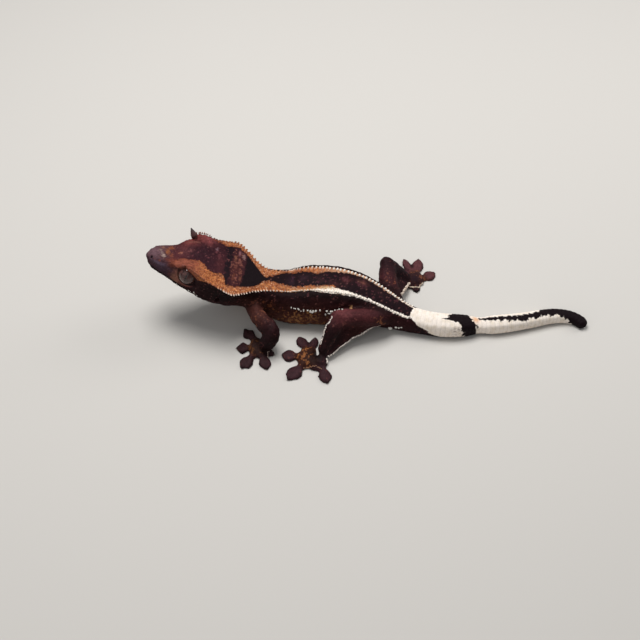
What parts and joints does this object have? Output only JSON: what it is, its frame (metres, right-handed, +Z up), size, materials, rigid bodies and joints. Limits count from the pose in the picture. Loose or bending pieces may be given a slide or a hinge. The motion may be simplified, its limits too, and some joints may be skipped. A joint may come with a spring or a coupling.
{
  "type": "crested gecko, still life-size model",
  "caption": "Life-size crested gecko lying alert on its belly: wedge head raised, spined crests along head and back, padded toes spread, tail laid out behind.",
  "frame": {"origin": "on the floor, in the flat of the belly under the middle of the trunk", "axes": "+X from the head to the tail, +Y to the animal's right side, +Z up from the floor"},
  "size_m": [0.1393, 0.0562, 0.0275],
  "materials": {
    "skin_dark": "dark chocolate brown skin of very fine soft scales, matt",
    "skin_rust": "rust orange skin of very fine soft scales, matt",
    "skin_cream": "cream skin of fine ringed scales, matt",
    "eye": "wet glossy grey-brown eye with an upright slit pupil"
  },
  "bodies": {
    "root": {"head": "skin_rust", "lower_jaw": "skin_dark", "eye_left": "eye", "eye_right": "eye", "neck": "skin_rust", "torso": "skin_dark", "tail_base": "skin_cream", "tail_middle": "skin_cream", "tail_end": "skin_cream", "left_upper_arm": "skin_dark", "left_forearm": "skin_dark", "left_forefoot": "skin_dark", "left_thigh": "skin_dark", "left_shank": "skin_dark", "left_hind_foot": "skin_dark", "right_upper_arm": "skin_dark", "right_forearm": "skin_dark", "right_forefoot": "skin_dark", "right_thigh": "skin_dark", "right_shank": "skin_dark", "right_hind_foot": "skin_dark"}
  },
  "joints": []
}
